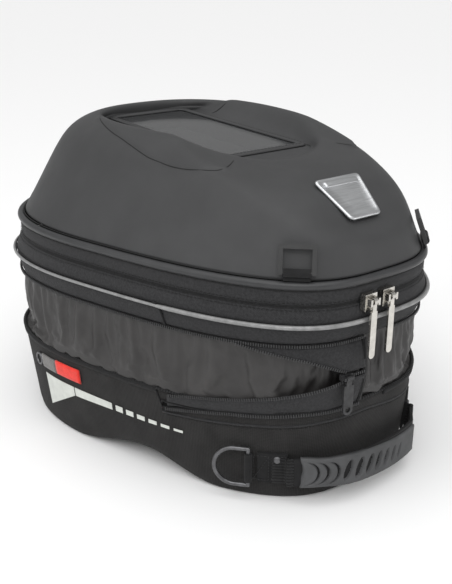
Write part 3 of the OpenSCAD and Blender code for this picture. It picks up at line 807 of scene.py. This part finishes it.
def build_gusset():
    z0, z1 = 75.4, 126.6
    count, high = 420, 28
    verts = []
    for k in range(high):
        t = k / (high - 1)
        z = z0 + (z1 - z0) * t
        for i in range(count):
            th = 360 * i / count
            o = -1.4 + 1.6 * math.sin(math.pi * t) * (1 - 0.6 * t)
            o += fold(th, t)
            verts.append(wall(th, z, o))
    faces = grid_faces(high, count, False, True)
    obj = make("gusset_cloth", verts, faces)
    drape(obj, count, high)
    co = np.array([v.co[:] for v in obj.data.vertices]) / MM
    co[:, 1] -= SEAT
    a = co.reshape(high, count, 3)
    bpy.data.objects.remove(obj)
    limit(a, z0, z1)
    inner = a - outward_grid(a) * 0.8
    obj = loft("gusset_wall", list(a) + list(inner[::-1]))
    dress(obj, "gusset")
    mod = obj.modifiers.new("fine", "SUBSURF")
    mod.levels = mod.render_levels = 1
    bpy.context.view_layer.objects.active = obj
    bpy.ops.object.modifier_apply(modifier="fine")
    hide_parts("expansion_gusset")
    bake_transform(obj)


def outward_grid(a):
    t = np.roll(a, -1, axis=1) - np.roll(a, 1, axis=1)
    n = np.stack([t[..., 1], -t[..., 0], np.zeros(t.shape[:2])], axis=2)
    return n / (np.linalg.norm(n, axis=2)[..., None] + 1e-9)


def limit(a, z0, z1):
    """Keeps the simulated cloth within a few millimetres of the wall."""
    high, count = a.shape[:2]
    for k in range(high):
        for i in range(count):
            th = 360 * i / count
            z = float(np.clip(a[k, i, 2], z0, z1))
            p, n = wall(th, z), wall_normal(th, z)
            d = float(np.dot(a[k, i, :2] - p[:2], n))
            e = float(np.clip(d, -7.0, 3.4 if z > 84 else 1.2))
            a[k, i, :2] += n * (e - d)
            a[k, i, 2] = z


def drape(obj, count, high):
    group = obj.vertex_groups.new(name="sewn")
    edge = list(range(count)) + [(high - 1) * count + i for i in range(count)]
    group.add(edge, 1.0, "REPLACE")
    mod = obj.modifiers.new("cloth", "CLOTH")
    s = mod.settings
    s.quality = 6
    s.mass = 0.12
    s.tension_stiffness = 12
    s.compression_stiffness = 6
    s.shear_stiffness = 2
    s.bending_stiffness = 0.06
    s.vertex_group_mass = "sewn"
    s.shrink_min = -0.075
    s.use_pressure = True
    s.uniform_pressure_force = 0.35
    mod.collision_settings.use_collision = False
    scene = bpy.context.scene
    for f in range(1, 31):
        scene.frame_set(f)
    bpy.context.view_layer.objects.active = obj
    obj.select_set(True)
    bpy.ops.object.modifier_apply(modifier="cloth")
    scene.frame_set(1)


def edge_b(th):
    return np.interp(th, [219, 237, 251, END], [124.5, 115, 104.2, 104.2])


def edge_c(th):
    return np.interp(th, [203.5, 210, 225, 237, 251, END], [72, 77, 86, 92, 98.6, 98.6])


def edge_e(th):
    return np.interp(th, [203, 212, 219, 237, 251, END], [60, 66, 70, 74, 74, 74])


def zip_chain(name, path, outward, body=None):
    """Coil teeth along a path of points."""
    teeth = boxes(name, along_frames(path, 1.75, outward), (0.95, 1.3, 2.3))
    mod = teeth.modifiers.new("edge", "BEVEL")
    mod.width = 0.25 * MM
    mod.segments = 1
    dress(teeth, "coil")
    if body:
        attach(teeth, body)
    return teeth


def strip_rows(profile, ths, level=lambda th: 0):
    """Sections along a stretch of the wall; profile lists (height above level, distance out)."""
    return [[wall(th, level(th) + z, out) for z, out in profile] for th in ths]


def flap_ring(th, lo, hi, start, end, bulge, ripple, level):
    """A closed section through a flap; start and end are how far out its lower and upper edges stand."""
    steps = 9
    ring = []
    for k in range(steps + 1):
        w = k / steps
        out = start + (end - start) * w + bulge * math.sin(math.pi * w) + ripple
        ring.append(wall(th, lo + (hi - lo) * k / steps, out))
    inward = np.append(wall_normal(th, level), 0)
    return ring + [p - inward for p in ring[::-1]]


def build_expansion():
    # fixed edges: one chain under the band, one along the base
    run = stretch(END - 343, END, 1.5)
    path = [wall(th, 126.0, 1.5) for th in run]
    zip_chain("edge_teeth_high", path, from_axis, "upper")
    rows = strip_rows(((124.6, 0.2), (127.2, 0.35), (127.2, 1.1), (124.8, 1.0)), run)
    tape = loft("edge_tape_high", rows, wrap_rows=False, caps=True)
    piece(tape, "tape", "upper", ["expansion_zip_upper"])

    def low(th):
        return 74.2 if th < 203 else float(edge_e(th))

    path = [wall(th, low(th), 2.2) for th in stretch(204, END, 1.5)]
    zip_chain("edge_teeth_low", path, from_axis, "base")
    rows = strip_rows(((-2.6, 0.4), (1.6, 0.4), (1.7, 1.6), (-2.4, 1.4)), run, low)
    tape = loft("edge_tape_low", rows, wrap_rows=False, caps=True)
    piece(tape, "tape", "base", ["expansion_zip_lower"])

    # cloth flaps that carry the two halves of the opened zip to the slider
    rows = []
    for th in stretch(219.5, END, 1.2):
        lo, hi = float(edge_b(th)), 124.8
        out = 1.2 + 4 * (hi - lo) / 20
        rows.append(flap_ring(th, lo, hi, out, 0.4, 0.5, soften(th * 3, lo, 0.4), 110))
    flap = loft("flap_high", rows, wrap_rows=False, caps=True)
    dress(flap, "band")
    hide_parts("expansion_flap_upper")
    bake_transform(flap)

    rows = []
    for th in stretch(204.5, END, 1.2):
        hi = float(edge_c(th))
        lo = float(edge_e(th)) + 1.2
        out = 1.4 + 4.2 * max(0, hi - 75) / 25
        rows.append(flap_ring(th, lo, hi, 1.0, out, 0.6, soften(th * 2, hi, 0.4), 85))
    flap = loft("flap_low", rows, wrap_rows=False, caps=True)
    dress(flap, "band")
    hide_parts("expansion_flap_lower")
    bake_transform(flap)

    def b_out(th):
        return 1.2 + 4 * (124.8 - float(edge_b(th))) / 20 + 1.0

    path = [wall(th, float(edge_b(th)) + 0.6, b_out(th) - 0.4) for th in stretch(219.5, 251, 1.2)]
    teeth = zip_chain("flap_teeth_high", path, from_axis)
    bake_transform(teeth)

    def c_out(th):
        return 1.4 + 4.2 * max(0, float(edge_c(th)) - 75) / 25 + 0.6

    path = [wall(th, float(edge_c(th)) - 0.4, c_out(th)) for th in stretch(205, 251, 1.2)]
    teeth = zip_chain("flap_teeth_low", path, from_axis)
    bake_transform(teeth)
    path = []
    for th in stretch(251, END - 0.5, 1.2):
        path.append(wall(th, (float(edge_b(th)) + float(edge_c(th))) / 2, 5.6))
    teeth = zip_chain("flap_teeth_closed", path, from_axis)
    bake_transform(teeth)
    # end seam of the flaps, next to the middle of the rider's end
    rows = []
    for z in np.linspace(75.5, 125, 26):
        out = 1.8 + 3.2 * math.sin(math.pi * (z - 75) / 50)
        corners = ((-1.2, 0.6), (-1.2, out), (0.9, out), (0.9, 0.6))
        rows.append([wall(END + 0.2 + turn, z, o) for turn, o in corners])
    seam = loft("flap_end_seam", rows, wrap_rows=False, caps=True)
    dress(seam, "webbing")
    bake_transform(seam)
    keep_node("expansion_slider", "zinc", 0.0005)
    keep_node("expansion_pull", "zinc", 0.0004)


# ---------------------------------------------------------------- base
def foot_z(y):
    q = (y + 46) / 64 if y < -46 else (y + 46) / 78
    return 0.0 if abs(q) > 1 else 15 * (1 + math.cos(math.pi * q)) / 2


def foot(th, inset, lift, share=1.0):
    p = plan(LEN - 12 - inset, WID - 0.8 - inset, th)
    return np.array([p[0], p[1], foot_z(p[1]) * share + lift])


def lock_hole(z):
    """The round hole in the middle of the underside, at height z."""
    rounds = [math.radians(t) for t in ANGLES]
    return [np.array([50 * math.cos(a), 50 * math.sin(a), z]) for a in rounds]


def build_base():
    rows = [lock_hole(22.0)]
    rows.append([foot(t, 60, 22, 0) for t in ANGLES])
    rows.append([foot(t, 28, 22, 0) for t in ANGLES])
    rows.append([foot(t, 17, 9, 13 / 15) for t in ANGLES])
    rows.append([foot(t, 12, 1.2) for t in ANGLES])
    rows.append([foot(t, 10.6, 0) for t in ANGLES])
    rows.append([foot(t, 3.6, 0) for t in ANGLES])
    rows.append([foot(t, 1.4, 0.5) for t in ANGLES])
    rows.append([foot(t, 0.3, 2.2) for t in ANGLES])
    for k in range(1, 19):
        w = k / 18
        row = []
        for t in ANGLES:
            f = foot_z(wall(t, 10)[1])
            z = (f + 3.6) * (1 - w) + 74.6 * w
            row.append(wall(t, z, soften(t, z, 0.12)))
        rows.append(row)
    rows.append([wall(t, 75.0, -0.6) for t in ANGLES])
    rows.append([wall(t, 75.0, -2.6) for t in ANGLES])
    rows.append([wall(t, 40, -3) for t in ANGLES])
    rows.append([foot(t, 3.4, 6, 19 / 15) for t in ANGLES])
    rows.append([foot(t, 16, 12, 13 / 15) for t in ANGLES])
    rows.append([foot(t, 27, 25, 0) for t in ANGLES])
    rows.append(lock_hole(25.0))
    piece(loft("base_cloth", rows), "base", "base", ["base_shell"])
    edge = ring_tube("base_edge_binding", lambda th: (wall(th, 75.4, 0.2), wall_normal(th, 75)), 1.25, 10)
    piece(edge, "webbing", "base")
    # raised seam across the rider's end, below the expansion zip
    zs = lambda th: float(np.interp(th, [203, 224, 245, 270, 295, 322], [56, 62, 65, 64.5, 60, 56]))
    rows = strip_rows(((-1.1, 0.05), (-0.6, 0.75), (0.6, 0.75), (1.1, 0.05)), stretch(203, 326, 1.5), zs)
    piece(loft("base_seam", rows, wrap_rows=False, caps=True), "band", "base", ["base_binding"])
    path = [wall(th, zs(th) - 1.9, 0.25) for th in stretch(204, 325, 1.5)]
    stitches = threads("base_seam_stitches", path, 3.0, 2.2, from_axis, 0.45, 0.1)
    piece(stitches, "thread_and_crease_shade", "base")
    keep_node("reflective_trim_left", "film_trim")
    keep_node("reflective_trim_right", "film_trim")
    keep_node("base_board", "plastic", 0.0004)
    keep_node("side_tab_ring", "ring")
    keep_node("lock_housing", "plastic", 0.0008)
    keep_node("lock_bolt", "steel", 0.0005)
    keep_node("release_pull", "webbing", 0.0008)
    keep_node("backing_ring", "steel", 0.0003)
    keep_node("housing_screws", "steel", 0.0003)
    # the sewn side tab: grey carrier and a blank red label
    for name, a, b, z0, z1, material, slot, rep in (
        ("side_tab_red", 167.2, 176.6, 53.6, 66.2, "red", "tab_red", ["side_tab"]),
        ("side_tab_grey", 160.4, 166.9, 53.2, 65.4, "grey", "webbing", []),
    ):
        rows = []
        for th in stretch(a, b, 0.9):
            ring = [wall(th, z0 + 0.3, 0.5), wall(th, z0, 1.2), wall(th, z0 + 0.4, 2.0)]
            for k in range(1, 5):
                ring.append(wall(th, z0 + (z1 - z0) * k / 5, 2.15 + 0.25 * math.sin(math.pi * k / 5)))
            ring += [wall(th, z1 - 0.4, 2.0), wall(th, z1, 1.2), wall(th, z1 - 0.3, 0.5)]
            rows.append(ring)
        piece(loft(name, rows, wrap_rows=False, caps=True), material, "base", rep)


GARAGE_FROM, GARAGE_TO, GARAGE_RUN = 203.2, 213.5, 10.3


def build_garage():
    """The opening at the end of the lower zip, on the left side only: a near-black strip on the wall,
    painted shade of the opening's inside, with a webbing rim.
    """
    rows = []
    for th in stretch(GARAGE_FROM, GARAGE_TO, 0.8):
        k = (th - GARAGE_FROM) / GARAGE_RUN
        lo, hi = 58.6 + 7.6 * k, 66.2 + 1.6 * k
        profile = ((lo, 0.2), (lo + 0.3, 1.0), ((lo + hi) / 2, 1.15), (hi - 0.3, 1.0), (hi, 0.2))
        rows.append([wall(th, z, out) for z, out in profile])
    # near-black strip: painted shade inside the garage opening
    piece(loft("zip_garage", rows, wrap_rows=False, caps=True), "hole", "base")
    rim = []
    for th in stretch(GARAGE_TO, GARAGE_FROM, 0.8):
        rim.append(wall(th, 66.4 + 1.4 * (th - GARAGE_FROM) / GARAGE_RUN, 1.4))
    for th in stretch(GARAGE_FROM, GARAGE_TO, 0.8):
        rim.append(wall(th, 58.4 + 7.6 * (th - GARAGE_FROM) / GARAGE_RUN, 1.4))
    piece(path_tube("zip_garage_rim", rim, 0.8), "webbing", "base")


# ---------------------------------------------------------------- handle
GRIP_X, GRIP_Y, GRIP_HALF = -5.5, -178.5, 52.5
# crescents by their middle; ovals by their middle, half width and half height
CRESCENTS = (-44.5, -37.5, -30.5)
OVALS = [(-22, 3.0, 8.4), (-12.5, 3.2, 8.4), (-3, 3.1, 8), (6, 2.7, 7.6)]
OVALS += [(14.5, 2.2, 7.2), (22.5, 1.8, 6.8), (30, 1.5, 6.4)]


def grip_at(q):
    """Middle line of the grip, q from -1 at its left end to 1 at its right end."""
    y = GRIP_Y + (18.5 if q < 0 else 7.5) * abs(q) ** 2.4
    return np.array([GRIP_X + GRIP_HALF * q, y, STRAP_Z + 0.4 - 3.9 * float(smooth(q, -1, 1))])


def grip_cut(s, t):
    """How deep the grip is cut at s along it and t up it, both in millimetres; 0 is uncut."""
    best = 0.0
    for c in CRESCENTS:
        outer = 9.0 - math.hypot(s - (c - 6), t)
        inner = math.hypot(s - (c - 8.6), t) - 9.0
        best = max(best, min(outer, inner))
    for c, w, h in OVALS:
        x = s - c - 0.22 * t
        best = max(best, (1 - math.hypot(x / w, t / h)) * w)
    return float(smooth(best, -0.1, 0.9))


def build_grip():
    count = 190
    rows, deep = [], []
    for k in range(count + 1):
        q = -1 + 2 * k / count
        p = grip_at(q)
        d = grip_at(min(1, q + 0.01)) - grip_at(max(-1, q - 0.01))
        d = d / np.linalg.norm(d)
        n = np.cross(d, [0, 0, 1.0])
        n = n / np.linalg.norm(n)
        n = n if n[1] < 0 else -n
        up = np.cross(n, d) * (1 if np.cross(n, d)[2] > 0 else -1)
        s = GRIP_HALF * q
        left, right = float(1 - smooth(q, -1, -0.72)), float(smooth(q, 0.8, 1))
        half = 12.4 - 1.1 * float(smooth(q, -0.2, 1)) - 0.7 * math.exp(-(((q + 0.72) / 0.16) ** 2))
        row, cut = [], []
        for j in range(51):
            t = -half + 2 * half * j / 50
            e = min(1.0, (half - abs(t)) / 1.6)
            f = 2.2 + 0.9 * math.sqrt(max(0.0, 1 - (1 - e) ** 2)) - 0.5 * (t / half) ** 2
            g = grip_cut(s, t * 11.6 / half)
            shift = (1 - (t / half) ** 2) * (3.6 * left - 2.2 * right)
            row.append(p + up * t + n * (f - 2.6 * g) + d * shift)
            cut.append(g)
        for j in range(8):
            t = half - 2 * half * j / 7
            row.append(p + up * t * 0.97 - n * 1.3)
            cut.append(0)
        rows.append(row)
        deep.append(cut)
    obj = loft("grip_plate", rows, wrap_rows=False, caps=True)
    piece(obj, "rubber", "handle", ["handle_grip"])
    # the deepest parts of the cut-outs take the near-black hole material: painted shade of the
    # through-holes
    obj.data.materials.append(MATS["hole"])
    flat = [g for row in deep for g in row]
    for poly in obj.data.polygons:
        if len(poly.vertices) == 4 and sum(flat[v] if v < len(flat) else 0 for v in poly.vertices) > 3.2:
            poly.material_index = 1


def build_legs():
    """The sewn webbing between each patch and the end of the handle's strap."""
    profile = ((1, -11), (1.2, -6), (1.2, 6), (1, 11), (-0.9, 11), (-0.9, -11))
    for name, side in (("left", -1), ("right", 1)):
        ths = [229, 231, 233] if side < 0 else [311, 309, 307]
        line = [wall(th, STRAP_Z, 3.0) for th in ths]
        line += [np.array([side * x, y, STRAP_Z]) for x, y in ((65.5, -155.6), (61, -157.6))]
        line = resample(line, 1.5)
        rows = []
        for k, p in enumerate(line):
            a, b = line[max(0, k - 1)], line[min(len(line) - 1, k + 1)]
            t = (b - a) / np.linalg.norm(b - a)
            n = np.array([t[1], -t[0], 0.0]) * (1 if side < 0 else -1)
            n = n if n @ p > 0 else -n
            rows.append([p + n * o + np.array([0, 0, z]) for o, z in profile])
        obj = loft("handle_leg_%s" % name, rows, wrap_rows=False, caps=True)
        dress(obj, "webbing")
        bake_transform(obj)


# boxes of stitching on a patch: from and to round the bag in degrees, low and high in millimetres
STITCH_BOXES = ((224.6, 228.4, 17.5, 38.5), (229.2, 232.8, 17.5, 38.5))
STITCH_OUT = 2.75


def build_patches():
    for name, flip in (("left", False), ("right", True)):
        def at(th, z):
            return wall(180 - th if flip else th, z, STITCH_OUT)

        loops = []
        for a, b, lo, hi in STITCH_BOXES:
            path = [at(th, lo) for th in stretch(a, b, 0.5)]
            path += [at(b, z) for z in stretch(lo, hi, 2)]
            path += [at(th, hi) for th in stretch(b, a, 0.5)]
            path += [at(a, z) for z in stretch(hi, lo, 2)]
            path += [at(a + (b - a) * k / 12, lo + (hi - lo) * k / 12) for k in range(13)]
            loops.append(threads("box_stitch", path, 2.6, 2.0, from_axis, 0.6, 0.15))
        piece(join(loops, "patch_stitches_%s" % name), "thread", "base")


# ---------------------------------------------------------------- run
build_lid()
build_window()
build_badge()
build_bands()
build_gusset()
build_expansion()
build_base()
build_kinks()
build_garage()
build_grip()
build_legs()
build_patches()
for name in ("strap_loop_left", "strap_loop_right"):
    keep_node(name, "plastic", 0.0006)
for name in ("loop_tab_left", "loop_tab_right", "anchor_patch_left", "anchor_patch_right", "handle_strap"):
    keep_node(name, "webbing", 0.0003)
for name in ("main_slider_left", "main_slider_right", "main_pull_left", "main_pull_right"):
    keep_node(name, "nickel", 0.0005)
for name in ("d_ring_left", "d_ring_right"):
    keep_node(name, "ring")
keep_node("anchor_rivets", "ring", 0.0003)
keep_node("hinge_panel", "band")


# ---------------------------------------------------------------- stage, lights, camera
FLOOR_HALF, FLOOR_Z = 40.0, -0.0004


def build_stage():
    mesh = bpy.data.meshes.new("floor")
    signs = ((-1, -1), (1, -1), (1, 1), (-1, 1))
    corners = [(x * FLOOR_HALF, y * FLOOR_HALF, FLOOR_Z) for x, y in signs]
    mesh.from_pydata(corners, [], [(0, 1, 2, 3)])
    floor = bpy.data.objects.new("floor", mesh)
    bpy.context.scene.collection.objects.link(floor)
    floor.data.materials.append(Mat("floor_pale", (0.9, 0.9, 0.9), 0.9).m)
    world = bpy.data.worlds.new("studio")
    world.use_nodes = True
    world.node_tree.nodes["Background"].inputs[0].default_value = (1, 1, 1, 1)
    world.node_tree.nodes["Background"].inputs[1].default_value = 0.42
    bpy.context.scene.world = world
    bpy.context.scene.view_settings.view_transform = "Standard"


def area(name, where, aim, size, power):
    data = bpy.data.lights.new(name, "AREA")
    data.energy = power
    data.size = size
    obj = bpy.data.objects.new(name, data)
    obj.location = where
    obj.rotation_euler = (Vector(aim) - Vector(where)).to_track_quat("-Z", "Y").to_euler()
    bpy.context.scene.collection.objects.link(obj)


def sky(name, aim, power, spread):
    data = bpy.data.lights.new(name, "SUN")
    data.energy = power
    data.angle = math.radians(spread)
    obj = bpy.data.objects.new(name, data)
    obj.rotation_euler = Vector(aim).to_track_quat("-Z", "Y").to_euler()
    bpy.context.scene.collection.objects.link(obj)


VIEW_AZIMUTH, VIEW_ELEVATION = -37.46, 21.62
VIEW_DISTANCE, VIEW_SIDE, VIEW_HEIGHT = 0.722, 0.0013, 0.1018
SENSOR, LENS = 36, 51.8425


def build_camera():
    az, el = math.radians(VIEW_AZIMUTH), math.radians(VIEW_ELEVATION)
    back = Vector((math.sin(az) * math.cos(el), -math.cos(az) * math.cos(el), math.sin(el)))
    right = Vector((math.cos(az), math.sin(az), 0))
    up = back.cross(right)
    where = back * VIEW_DISTANCE - right * VIEW_SIDE + Vector((0, SEAT * MM, VIEW_HEIGHT))
    data = bpy.data.cameras.new("view")
    data.lens = LENS
    data.sensor_width = SENSOR
    cam = bpy.data.objects.new("view", data)
    axes = [(right[k], up[k], back[k], where[k]) for k in range(3)]
    cam.matrix_world = Matrix((*axes, (0, 0, 0, 1)))
    bpy.context.scene.collection.objects.link(cam)
    bpy.context.scene.camera = cam


build_stage()
sky("overhead", (0.25, 0.12, -1.0), 1.95, 80)
area("key", (-0.9, -1.2, 1.3), (0, 0, 0.12), 0.9, 7)
area("side", (-1.5, 0.3, 0.7), (0, 0, 0.1), 0.9, 4)
area("front", (0.6, -1.4, 0.5), (0, 0, 0.1), 0.8, 3)
build_camera()
